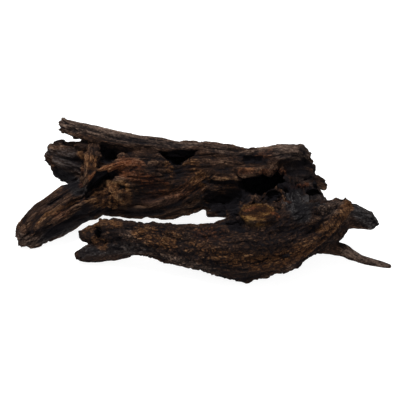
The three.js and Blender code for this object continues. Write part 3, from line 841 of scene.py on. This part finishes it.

# %% [markdown]
# ## Where the colours lie
#
# Old ebony driftwood is near black where it is rotten or wet, rust red where the bark has just gone, and
# ochre where sound wood is worn bare. These places are painted as soft strokes, like the carving: between
# two pixels of the photograph, with a radius. Each paint is one number per vertex, 0 where there is none
# and about 1 where it is thick. The material breaks their edges up with the grain, so that they don't look
# sprayed on. The pale dust is also painted highlight on lit tops and edges, and the near-black char is also
# painted shade in the hollows, in the gaps between limbs and under overhangs. The pressed hollows are
# painted dark too, as painted shade.

# %% Paint strokes
PAINT = {
    # x0, y0, x1, y1 in pixels; radius in millimetres; strength
    # dust and painted highlight: pale tan dust, also laid on the lit tops of the rib and crest and on lit
    # lower edges as painted light
    "dust_and_highlight": [
        (66, 123, 120, 136, 10, 0.8), (120, 136, 190, 145, 11, 0.75), (190, 145, 270, 151, 9, 0.5),
        (282, 149, 304, 152, 12, 1.0), (52, 144, 74, 147, 6, 0.4), (20, 238, 34, 242, 9, 0.7),
        (180, 262, 214, 271, 9, 0.7), (120, 249, 180, 260, 7, 0.5), (346, 252, 388, 265, 6, 0.8),
        (318, 206, 342, 210, 10, 0.8), (262, 150, 290, 152, 9, 0.7), (324, 204, 346, 203, 6, 0.7),
        (28, 222, 60, 198, 4, 0.3), (330, 225, 350, 212, 9, 0.5), (150, 158, 230, 162, 8, 0.2),
        (255, 262, 290, 262, 8, 0.5), (122, 233, 186, 239, 8, 0.4),
    ],
    "ochre": [
        (84, 152, 92, 163, 9, 0.8), (84, 165, 83, 184, 5, 0.5), (88, 176, 112, 166, 4, 0.4),
        (104, 186, 122, 190, 10, 1.3), (102, 196, 124, 200, 12, 1.35), (106, 205, 120, 208, 9, 1.0),
        (88, 200, 96, 206, 8, 0.6), (37, 224, 46, 214, 3, 0.6), (46, 214, 78, 200, 3.5, 0.85),
        (98, 222, 118, 224, 6, 0.8), (98, 240, 104, 244, 8, 0.7), (138, 232, 150, 240, 8, 0.8),
        (156, 242, 172, 243, 7, 1.0), (150, 230, 176, 234, 9, 0.6), (84, 229, 96, 226, 6, 0.5),
        (348, 206, 336, 222, 8, 0.9), (336, 222, 310, 246, 9, 1.05), (310, 246, 284, 258, 10, 1.0),
        (284, 258, 256, 266, 10, 1.0), (216, 254, 252, 260, 11, 0.65), (190, 246, 216, 252, 9, 0.5),
        (190, 166, 200, 180, 12, 0.65), (168, 164, 172, 174, 5, 0.8), (158, 184, 166, 187, 5, 0.7),
        (241, 168, 252, 169, 5, 0.3), (216, 186, 240, 187, 5, 0.4), (212, 178, 236, 179, 4, 0.4),
        (264, 194, 268, 190, 2.5, 0.7), (268, 190, 280, 190, 2.5, 0.6), (280, 191, 285, 200, 2.5, 0.6),
        (240, 208, 250, 204, 2.5, 0.7),
    ],
    "rust": [
        (92, 178, 108, 168, 5, 0.9), (104, 169, 130, 162, 5, 0.9), (82, 170, 82, 186, 5, 0.7),
        (118, 172, 150, 180, 8, 0.7), (146, 182, 164, 186, 8, 0.8), (122, 160, 140, 166, 7, 0.6),
        (286, 187, 306, 184, 5, 1.0), (262, 173, 284, 172, 5, 0.6), (200, 232, 220, 236, 10, 0.4),
        (56, 216, 68, 212, 7, 0.4), (274, 213, 278, 218, 4, 0.8), (190, 178, 200, 188, 9, 0.4),
        (318, 244, 296, 256, 8, 0.3), (276, 196, 288, 202, 5, 0.6), (150, 200, 196, 186, 12, 0.4),
        (246, 211, 256, 207, 3, 0.7), (240, 171, 252, 170, 5, 0.5), (252, 160, 270, 152, 7, 0.5),
    ],
    # char and painted shade: near-black rot, also laid in the hollows, in the gaps between limbs and under
    # overhangs as painted shade
    "char_and_shade": [
        (250, 184, 286, 186, 10, 0.8), (210, 206, 242, 196, 9, 1.0), (222, 211, 240, 206, 8, 1.0),
        (213, 207, 222, 205, 7, 0.9), (230, 208, 236, 207, 5, 0.9), (236, 200, 248, 199, 6, 0.8),
        (245, 195, 258, 194, 6, 0.9), (244, 197, 261, 198, 5, 0.7), (48, 230, 84, 214, 8, 0.6),
        (62, 180, 80, 192, 9, 0.5), (300, 164, 314, 168, 6, 0.7), (290, 170, 312, 176, 7, 0.5),
        (308, 195, 316, 196, 6, 0.5), (272, 196, 276, 197, 4, 1.0), (104, 155, 112, 158, 6, 0.9),
        (92, 186, 106, 174, 5, 0.9), (97, 229, 98, 231, 5, 1.0), (60, 176, 72, 186, 10, 0.6),
        (228, 224, 240, 230, 8, 0.85), (330, 238, 344, 244, 7, 0.5), (236, 216, 240, 218, 4, 0.7),
        (108, 209, 160, 213, 8, 0.7), (130, 200, 176, 204, 9, 0.5), (120, 196, 136, 198, 5, 0.6),
        (250, 158, 266, 162, 5, 0.6), (300, 207, 302, 212, 5, 0.6), (232, 218, 252, 224, 5, 0.6),
        (205, 182, 232, 182, 3, 0.8), (208, 191, 240, 190, 3, 0.8), (70, 226, 88, 218, 8, 0.6),
        (226, 206, 234, 211, 8, 0.9), (30, 230, 60, 206, 3, 0.5), (94, 150, 102, 148, 4, 0.5),
        (160, 226, 196, 228, 6, 0.3), (300, 228, 318, 238, 8, 0.45), (228, 274, 262, 276, 8, 0.35),
        (242, 213, 247, 214, 2.2, 0.6), (50, 234, 84, 212, 8, 0.8), (290, 162, 314, 188, 11, 0.4),
        (305, 196, 307, 201, 4, 0.4), (84, 206, 100, 210, 6, 0.7), (284, 178, 292, 190, 7, 0.7),
        (230, 193, 252, 194, 7, 0.7), (262, 192, 286, 191, 4, 0.5), (210, 196, 226, 206, 7, 0.7),
    ],
    "ash": [
        (289, 190, 300, 212, 14, 1.0), (58, 160, 78, 166, 9, 0.6), (308, 192, 322, 198, 8, 0.6),
        (60, 176, 80, 190, 12, 0.85), (110, 134, 230, 150, 6, 0.2), (352, 250, 388, 265, 6, 0.3),
        (96, 249, 146, 248, 10, 0.6), (48, 152, 76, 153, 7, 0.5), (305, 196, 307, 202, 5, 1.0),
        (304, 206, 322, 204, 5, 0.7), (290, 166, 316, 182, 10, 0.5), (350, 206, 376, 224, 11, 0.8),
        (84, 158, 96, 172, 5, 0.2), (126, 186, 136, 200, 6, 0.4), (44, 238, 86, 220, 10, 0.7),
        (84, 252, 96, 250, 9, 0.6),
    ],
}
PAINT_SOLID = 0.55
PAINT_END = 1.45
# painted shade: the pressed hollows are darkened more the deeper they are pressed
PIT_SHADE = 0.95
SHADED_PIT_DEPTH = (0.5, 5)


def painted(points, strokes, find):
    """How much of one paint each point has."""
    amount = np.zeros(len(points))
    for x0, y0, x1, y1, radius, strength in strokes:
        distance = distance_to_stroke(points, find(x0, y0), find(x1, y1))
        fade = 1 - ramp(distance, PAINT_SOLID * radius, PAINT_END * radius)
        amount = np.maximum(amount, strength * fade)
    return amount


find_on_log = pixel_finder(log.data)
for paint, strokes in PAINT.items():
    amount = painted(points, strokes, find_on_log)
    # the pressed hollows get painted shade on top of the char strokes
    if paint == "char_and_shade":
        pressed = read_rows(log.data.attributes["pressed"].data, "value", 1)[:, 0]
        amount = np.maximum(amount, PIT_SHADE * ramp(pressed, *SHADED_PIT_DEPTH))
    store(log.data, paint, amount)
    print(paint, "covers", round(100 * float((amount > 0.3).mean()), 1), "% of the log")
off_centre, on_knot = knot_places(points)
store(log.data, "knot", on_knot)
store(log.data, "off_centre", off_centre)

# %% [markdown]
# The material's fine grain needs the same coordinates as the carving. A point keeps those of its two
# strongest limbs, in the limbs' order, and the share of the second one. The material reads its noise in
# both, and mixes them, so the grain stays fine and has no seams.

# %% Grain attributes
LIMB_SPACING = 700.0


def store_grain(mesh, grain, shares):
    """Stores the two strongest limbs' grain coordinates and their mix."""
    everyone = np.arange(len(shares))
    low, high = np.sort(np.argsort(shares, axis=1)[:, -2:], axis=1).T
    coordinates = np.stack(grain, 1)
    for name, which in (("grain_low", low), ("grain_high", high)):
        apart = np.zeros((len(shares), 3))
        apart[:, 2] = which * LIMB_SPACING
        store(mesh, name, coordinates[everyone, which] + apart)
    low_share, high_share = shares[everyone, low], shares[everyone, high]
    store(mesh, "grain_mix", high_share / (low_share + high_share))


store_grain(log.data, *share_out(points))
print("the mesh keeps", len(log.data.attributes), "attributes")

# %% [markdown]
# ## Shader groups
#
# Three effects are built once, as node groups, and placed in the wood's material with their own values.
# Log grain gives streaks that follow the limbs. Ragged paint breaks the edge of a painted place up with
# streaks. Fine cracks draws the cracks that are too thin for the mesh.

# %% Node helpers
def new_group(name, inputs, outputs):
    """An empty shader node group with number inputs and outputs; returns it with its two ends."""
    tree = bpy.data.node_groups.new(name, "ShaderNodeTree")
    for label, value in inputs.items():
        socket = tree.interface.new_socket(label, in_out="INPUT", socket_type="NodeSocketFloat")
        socket.default_value = value
    for label in outputs:
        tree.interface.new_socket(label, in_out="OUTPUT", socket_type="NodeSocketFloat")
    return tree, tree.nodes.new("NodeGroupInput").outputs, tree.nodes.new("NodeGroupOutput").inputs


def add(tree, kind, links=None, **settings):
    """A node with its settings, and its inputs linked to sockets or set to values."""
    node = tree.nodes.new(kind)
    for name, value in settings.items():
        setattr(node, name, value)
    for socket, value in (links or {}).items():
        if isinstance(value, bpy.types.NodeSocket):
            tree.links.new(value, node.inputs[socket])
        else:
            node.inputs[socket].default_value = value
    return node


def math_node(tree, operation, *values, clamp=False):
    """A math node on numbers or sockets; returns its result."""
    node = add(tree, "ShaderNodeMath", dict(enumerate(values)), operation=operation, use_clamp=clamp)
    return node.outputs[0]


def attribute(tree, name, output="Fac"):
    """The value that the mesh keeps under that name."""
    return add(tree, "ShaderNodeAttribute", attribute_name=name).outputs[output]


def map_range(tree, value, low, high, start=0.0, end=1.0, way="SMOOTHSTEP"):
    """A value carried over from one range to another; returns the result."""
    ends = {"Value": value, "From Min": low, "From Max": high, "To Min": start, "To Max": end}
    return add(tree, "ShaderNodeMapRange", ends, interpolation_type=way).outputs["Result"]


def mix_colour(tree, factor, first, second):
    """Two colours mixed; each is a socket or a colour."""
    return add(tree, "ShaderNodeMix", {0: factor, 6: first, 7: second}, data_type="RGBA").outputs[2]


def ramp_node(tree, value, stops):
    """A colour ramp with the given stops of position, red, green and blue; returns its colour."""
    node = add(tree, "ShaderNodeValToRGB", {"Fac": value})
    elements = node.color_ramp.elements
    while len(elements) < len(stops):
        elements.new(0.5)
    for element, (position, *colour) in zip(elements, stops):
        element.position = position
        element.color = (*colour, 1)
    return node.outputs["Color"]


def along_limbs(tree, width, stretch, pattern):
    """A pattern read in both limbs' grain coordinates, drawn out along the grain, and mixed by share."""
    thin = math_node(tree, "DIVIDE", 1.0, width)
    slow = math_node(tree, "DIVIDE", thin, stretch)
    scale = add(tree, "ShaderNodeCombineXYZ", {"X": thin, "Y": thin, "Z": slow}).outputs[0]
    values = []
    for name in ("grain_low", "grain_high"):
        at = add(tree, "ShaderNodeVectorMath", {0: attribute(tree, name, "Vector"), 1: scale},
                 operation="MULTIPLY").outputs[0]
        values.append(pattern(at))
    mix = add(tree, "ShaderNodeMix", {0: attribute(tree, "grain_mix"), 2: values[0], 3: values[1]})
    return mix.outputs[0]


# %% Log grain group
def make_log_grain():
    """Streaks along the limbs: noise of a given width in millimetres, drawn out along the grain."""
    tree, given, result = new_group(
        "Log grain", {"Width": 3.0, "Stretch": 8.0, "Detail": 3.0, "Roughness": 0.55}, ["Value"])

    def streaks(at):
        return add(tree, "ShaderNodeTexNoise", {
            "Vector": at, "Scale": 1.0, "Detail": given["Detail"],
            "Roughness": given["Roughness"]}).outputs["Fac"]

    tree.links.new(along_limbs(tree, given["Width"], given["Stretch"], streaks), result["Value"])
    return tree


LOG_GRAIN = make_log_grain()


def grain_value(tree, width, stretch, detail, roughness):
    """Places the log grain group in a material and returns its value."""
    return add(tree, "ShaderNodeGroup", {"Width": width, "Stretch": stretch, "Detail": detail,
                                         "Roughness": roughness}, node_tree=LOG_GRAIN).outputs[0]


print(LOG_GRAIN.name, "has", len(LOG_GRAIN.nodes), "nodes")

# %% Ragged paint group
PAINT_EDGE = (0.15, 0.95)
PAINT_HOLD = 4.0


def make_ragged_paint():
    """A painted amount, its edge broken up by streaks: 0 to 1."""
    tree, given, result = new_group(
        "Ragged paint", {"Amount": 0.0, "Streaks": 0.5, "Raggedness": 1.0}, ["Mask"])
    wander = math_node(tree, "SUBTRACT", given["Streaks"], 0.5)
    torn = math_node(tree, "MULTIPLY", wander, given["Raggedness"])
    edge = map_range(tree, math_node(tree, "ADD", given["Amount"], torn), *PAINT_EDGE)
    hold = math_node(tree, "MULTIPLY", given["Amount"], PAINT_HOLD, clamp=True)
    tree.links.new(math_node(tree, "MULTIPLY", edge, hold, clamp=True), result["Mask"])
    return tree


RAGGED_PAINT = make_ragged_paint()


def paint_mask(tree, name, streaks, raggedness):
    """Places the ragged paint group on one painted attribute and returns its mask."""
    return add(tree, "ShaderNodeGroup", {"Amount": attribute(tree, name), "Streaks": streaks,
                                         "Raggedness": raggedness}, node_tree=RAGGED_PAINT).outputs[0]


print(RAGGED_PAINT.name, "has", len(RAGGED_PAINT.nodes), "nodes")

# %% Fine cracks group
LINE_GRAIN = (1.5, 0.5)
GATE_GRAIN = (8.0, 2.5, 2.0, 0.55)
GATE_EDGE = (0.42, 0.56)
BLOCK_STRETCH = 1.6
WALL_BEND = {"Scale": 1.3, "Detail": 2.0}
BEND_STRENGTH = (0.5, 0.5, 0.5)


def make_fine_cracks():
    """Cracks too thin for the mesh: lines along the grain, and walls between small blocks. Both 0 to 1."""
    tree, given, result = new_group(
        "Fine cracks",
        {"Spacing": 5.0, "Stretch": 8.0, "Line Edge": 0.035, "Block Size": 5.2, "Block Edge": 0.13},
        ["Lines", "Blocks"])

    wave = grain_value(tree, given["Spacing"], given["Stretch"], *LINE_GRAIN)
    away = math_node(tree, "ABSOLUTE", math_node(tree, "SUBTRACT", wave, 0.5))
    line = map_range(tree, away, 0.0, given["Line Edge"], 1.0, 0.0)
    gate = map_range(tree, grain_value(tree, *GATE_GRAIN), *GATE_EDGE)

    def walls(at):
        bend = add(tree, "ShaderNodeTexNoise", {"Vector": at, **WALL_BEND})
        bent = add(tree, "ShaderNodeVectorMath", {0: bend.outputs["Color"], 1: BEND_STRENGTH, 2: at},
                   operation="MULTIPLY_ADD")
        cells = add(tree, "ShaderNodeTexVoronoi", {"Vector": bent.outputs[0], "Scale": 1.0},
                    feature="DISTANCE_TO_EDGE")
        return cells.outputs["Distance"]

    nearest = along_limbs(tree, given["Block Size"], BLOCK_STRETCH, walls)
    tree.links.new(math_node(tree, "MULTIPLY", line, gate, clamp=True), result["Lines"])
    tree.links.new(map_range(tree, nearest, 0.0, given["Block Edge"], 1.0, 0.0), result["Blocks"])
    return tree


FINE_CRACKS = make_fine_cracks()
print(FINE_CRACKS.name, "has", len(FINE_CRACKS.nodes), "nodes")

# %% [markdown]
# ## The weathered wood
#
# The base is a dark brown that goes from black in the furrows, partly painted shade, to a dusty tan on the
# ridges. Fine streaks and specks vary it along the grain. Then come dust, which is also painted highlight on
# lit tops, and ash where they are painted, the sawn knot's rings, and rust and ochre. Last come the darks,
# which cover them all: fine cracks, char that is also painted shade, and painted shade in the sheltered
# hollows and in the valleys. Dry wood is matte. The bump holds the fibres, pores and cracks that are too
# fine for the mesh.

# %% Wood tones
BLACK = (0.0060, 0.0053, 0.0064, 1)
TONES = {
    # place on the ramp, then red, green and blue
    "base": [(0.02, *BLACK[:3]), (0.25, 0.0090, 0.0056, 0.0044), (0.50, 0.0210, 0.0112, 0.0076),
             (0.74, 0.0500, 0.0270, 0.0170), (0.98, 0.1200, 0.0700, 0.0430)],
    "dust_and_highlight": [(0.05, 0.0100, 0.0070, 0.0060), (0.32, 0.0350, 0.0242, 0.0195),
             (0.60, 0.0800, 0.0525, 0.0395), (0.94, 0.1750, 0.1220, 0.0930)],
    "ochre": [(0.06, 0.0140, 0.0064, 0.0036), (0.34, 0.0460, 0.0200, 0.0090),
              (0.60, 0.0960, 0.0445, 0.0190), (0.94, 0.2150, 0.1180, 0.0570)],
    "rust": [(0.06, 0.0100, 0.0038, 0.0026), (0.36, 0.0330, 0.0110, 0.0052),
             (0.66, 0.0850, 0.0300, 0.0125), (0.94, 0.1700, 0.0820, 0.0500)],
    "ash": [(0.10, 0.0040, 0.0038, 0.0043), (0.46, 0.0140, 0.0130, 0.0136), (0.86, 0.0620, 0.0560, 0.0550)],
    "knot": [(0.05, 0.0070, 0.0032, 0.0020), (0.36, 0.0190, 0.0078, 0.0030),
             (0.62, 0.0440, 0.0190, 0.0062), (0.95, 0.1400, 0.0770, 0.0270)],
}
print("tones:", *TONES)

# %% Patterns and recipes
PATTERNS = {
    # width in millimetres, how far it is drawn out along the grain, detail, roughness
    "blotches": (13.0, 2.0, 3.0, 0.6),
    "streaks": (2.0, 7.0, 4.0, 0.65),
    "fibres": (1.1, 9.0, 3.0, 0.7),
    "specks": (2.2, 1.5, 4.0, 0.75),
}
RECIPES = {
    # a start, and how much each pattern adds when it is above its middle
    # relief makes the furrows darker, as painted shade, and the worn ridges paler
    "base": (0.50, dict(relief=0.34, along=1.0, blotches=0.8, specks=1.5, fibres=0.9)),
    "paint": (0.48, dict(relief=0.34, along=0.8, specks=2.0, fibres=0.8)),
    "patches": (0.50, dict(streaks=0.9, specks=1.0, blotches=0.8)),
    "knot": (0.335, dict(rings=1.0, specks=2.8, blotches=3.0, rim=1.0)),
    "bumps": (0.0, dict(streaks=1.0, fibres=0.5, specks=0.8, crack=-0.5)),
}


def blend(tree, patterns, recipe):
    """The recipe's start, plus each pattern's weight times how far the pattern is above its middle."""
    total, weights = RECIPES[recipe]
    for name, weight in weights.items():
        value, middle = patterns[name]
        part = math_node(tree, "MULTIPLY_ADD", value, weight, -weight * middle)
        total = math_node(tree, "ADD", total, part)
    return total


# %% Cracks in the wood
BLOCK_STRENGTH = 0.95
LEAST_BLOCKS = 0.05
CRACK_STRENGTH = 0.85


def crack_mask(tree):
    """Where the wood is cracked: the fine cracks and the carved ones, fewer on the sawn knot."""
    fine = add(tree, "ShaderNodeGroup", node_tree=FINE_CRACKS).outputs
    crackle = math_node(
        tree, "MULTIPLY_ADD", attribute(tree, "crackle"), BLOCK_STRENGTH, LEAST_BLOCKS, clamp=True)
    blocks = math_node(tree, "MULTIPLY", fine["Blocks"], crackle)
    lines = math_node(tree, "MULTIPLY", fine["Lines"], CRACK_STRENGTH)
    thin_cracks = math_node(tree, "MAXIMUM", blocks, lines)
    crack = math_node(tree, "MAXIMUM", thin_cracks, attribute(tree, "cracks"))
    off_knot = math_node(tree, "MULTIPLY_ADD", attribute(tree, "knot"), -KNOT_WHOLENESS, 1.0)
    return math_node(tree, "MULTIPLY", crack, off_knot)


# %% Wood patterns
RING_WIDTH = 1.9
RING_WANDER = 6.0
RIM_SHADE = (5.0, 21.0, -0.14, 0.24)
STREAK_STRENGTH = 1.7


def wood_patterns(tree):
    """The patterns that the recipes name, each with its middle."""
    patterns = {name: (grain_value(tree, *sizes), 0.5) for name, sizes in PATTERNS.items()}
    streaks, blotches = patterns["streaks"][0], patterns["blotches"][0]
    off_centre = attribute(tree, "off_centre")
    evenness = math_node(tree, "MULTIPLY_ADD", attribute(tree, "crackle"), -1.0, STREAK_STRENGTH)
    along = math_node(tree, "MULTIPLY", math_node(tree, "SUBTRACT", streaks, 0.5), evenness)
    wandering = math_node(tree, "MULTIPLY_ADD", blotches, RING_WANDER, off_centre)
    ring_place = add(tree, "ShaderNodeCombineXYZ", {"X": math_node(tree, "DIVIDE", wandering, RING_WIDTH)})
    rings = add(tree, "ShaderNodeTexNoise", {"Vector": ring_place.outputs[0], "Scale": 1.0, "Detail": 1.0})
    patterns["relief"] = attribute(tree, "relief"), 0
    patterns["along"] = along, 0
    patterns["rings"] = rings.outputs["Fac"], 0.5
    patterns["rim"] = map_range(tree, off_centre, *RIM_SHADE, way="LINEAR"), 0
    patterns["crack"] = crack_mask(tree), 0
    return patterns


# %% Wood colour
COATS = ("dust_and_highlight", "ash", "knot", "rust", "ochre")
RAGGEDNESS = 1.2
CHAR_AND_SHADE_RAGGEDNESS = 0.7
# painted shade: sheltered hollows and corners are darkened towards black
SHELTER_SHADE = (0.30, 0.80, 0.0, 0.9)
# painted shade: the deepest furrow valleys are darkened towards black
VALLEY_SHADE = (-0.9, -0.28)


def wood_colour(tree, patterns):
    """The bare wood's colour, the coats over it, and the darks over them all."""
    patches = blend(tree, patterns, "patches")
    shade = blend(tree, patterns, "paint")
    coats = {coat: (paint_mask(tree, coat, patches, RAGGEDNESS), shade) for coat in COATS if coat in PAINT}
    coats["knot"] = attribute(tree, "knot"), blend(tree, patterns, "knot")
    colour = ramp_node(tree, blend(tree, patterns, "base"), TONES["base"])
    for coat in COATS:
        mask, tone = coats[coat]
        colour = mix_colour(tree, mask, colour, ramp_node(tree, tone, TONES[coat]))
    # the darks: cracks, char with painted shade, and painted shade in sheltered places and in the valleys
    darks = [
        math_node(tree, "MULTIPLY", patterns["crack"][0], CRACK_STRENGTH, clamp=True),
        paint_mask(tree, "char_and_shade", patches, CHAR_AND_SHADE_RAGGEDNESS),
        map_range(tree, attribute(tree, "shelter"), *SHELTER_SHADE),
        math_node(tree, "MULTIPLY_ADD", patterns["relief"][0], *VALLEY_SHADE, clamp=True),
    ]
    for dark in darks:
        colour = mix_colour(tree, dark, colour, BLACK)
    return colour


# %% Weathered wood
DULLNESS = (0.35, 0.58)
GLOSS = 0.02
BUMP_HEIGHT = 2.2 * MM


def make_weathered_wood():
    """The material of the log's whole surface."""
    material = bpy.data.materials.new("weathered_ebony")
    material.use_nodes = True
    tree = material.node_tree
    shader = tree.nodes["Principled BSDF"].inputs
    patterns = wood_patterns(tree)
    dull = math_node(tree, "MULTIPLY_ADD", patterns["fibres"][0], *DULLNESS, clamp=True)
    bump = add(tree, "ShaderNodeBump", {
        "Height": blend(tree, patterns, "bumps"), "Strength": 1.0, "Distance": BUMP_HEIGHT})
    tree.links.new(wood_colour(tree, patterns), shader["Base Color"])
    tree.links.new(dull, shader["Roughness"])
    tree.links.new(bump.outputs["Normal"], shader["Normal"])
    shader["Specular IOR Level"].default_value = GLOSS
    return material


weathered = make_weathered_wood()
print(weathered.name, "has", len(weathered.node_tree.nodes), "nodes")

# %% Dress the log
log.data.materials.clear()
log.data.materials.append(weathered)
for polygon in log.data.polygons:
    polygon.use_smooth = True
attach(log, "root")
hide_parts("ebony_log")
print("log:", count_triangles(log.data), "triangles")

# %% [markdown]
# ## Floor and light
#
# The photograph has an even white ground and a soft light from above. A large pale floor that glows a
# little and an even world give the same. One soft lamp high above the log's left side shades its forms, and
# a wide, weak one in front lifts the shadows.

# %% Floor
FLOOR_SIZE = 6.0
WHITE = (1.0, 1.0, 1.0, 1)
FLOOR_LOOK = {
    "Base Color": (0.25, 0.25, 0.25, 1),
    "Roughness": 0.9,
    "Emission Color": WHITE,
    "Emission Strength": 0.90,
}

floor_bm = bmesh.new()
bmesh.ops.create_grid(floor_bm, x_segments=1, y_segments=1, size=FLOOR_SIZE / 2)
floor_mesh = bpy.data.meshes.new("floor")
floor_bm.to_mesh(floor_mesh)
floor_bm.free()
floor = bpy.data.objects.new("floor", floor_mesh)
bpy.context.scene.collection.objects.link(floor)
pale = bpy.data.materials.new("pale_floor")
pale.use_nodes = True
for socket, value in FLOOR_LOOK.items():
    pale.node_tree.nodes["Principled BSDF"].inputs[socket].default_value = value
floor.data.materials.append(pale)
print("floor:", FLOOR_SIZE, "m wide")

# %% World and lamps
WORLD_STRENGTH = 0.66
LAMPS = {
    # place and size in metres, and power in watts
    "key": ((-0.4, -0.1, 1.6), 0.5, 38),
    "fill": ((0.3, -1.5, 0.5), 1.2, 9),
}

world = bpy.data.worlds.new("studio")
world.use_nodes = True
world.node_tree.nodes["Background"].inputs["Color"].default_value = WHITE
world.node_tree.nodes["Background"].inputs["Strength"].default_value = WORLD_STRENGTH
bpy.context.scene.world = world
for name, (place, size, power) in LAMPS.items():
    lamp = bpy.data.lights.new(name, "AREA")
    lamp.size = size
    lamp.energy = power
    holder = bpy.data.objects.new(name, lamp)
    holder.location = place
    holder.rotation_euler = (VIEW_TARGET - Vector(place)).to_track_quat("-Z", "Y").to_euler()
    bpy.context.scene.collection.objects.link(holder)
bpy.context.scene.view_settings.view_transform = "Standard"
print("lamps:", *LAMPS)
